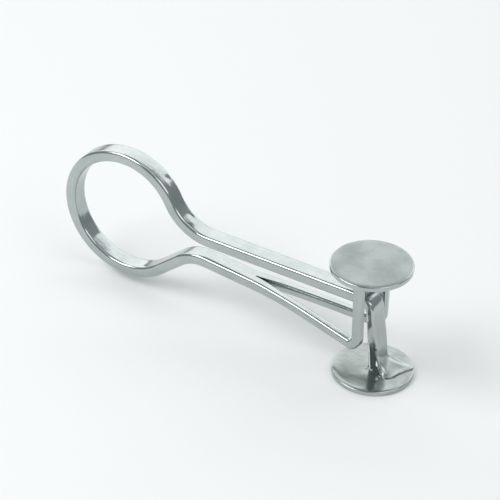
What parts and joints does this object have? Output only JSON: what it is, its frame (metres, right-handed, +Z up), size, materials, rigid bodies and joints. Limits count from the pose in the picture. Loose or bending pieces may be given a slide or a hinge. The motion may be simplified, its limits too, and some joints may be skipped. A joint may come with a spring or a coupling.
{
  "type": "tubing pinch clamp",
  "caption": "Spring pinch clamp for rubber tubing: a looped flat-bar spring with crossed jaws, one forked, and a round thumb disc on the end of each.",
  "frame": {"origin": "on the bench, under the middle of the clamp's bounding box; the lower disc's underside is at z = 0", "axes": "+X from the loop towards the thumb discs, +Y across the jaws along a gripped tube, +Z up, out of the upper thumb disc"},
  "size_m": [0.0692, 0.014, 0.0263],
  "materials": {
    "nickel_bar": "bright nickel plate over a polished spring-steel bar",
    "nickel_disc": "satin nickel plate with fine brush lines"
  },
  "bodies": {
    "plain_half": {"plain_arm": "nickel_bar", "lower_disc": "nickel_disc"},
    "forked_half": {"forked_arm": "nickel_bar", "upper_disc": "nickel_disc"}
  },
  "joints": [
    {"name": "jaw_opening", "type": "hinge", "parent": "plain_half", "child": "forked_half", "pos_m": [-0.03355, 0, 0.01389], "axis": [0, 1, 0], "range_deg": [-4.9, 4.8], "stiffness_Nm_per_rad": 8}
  ]
}
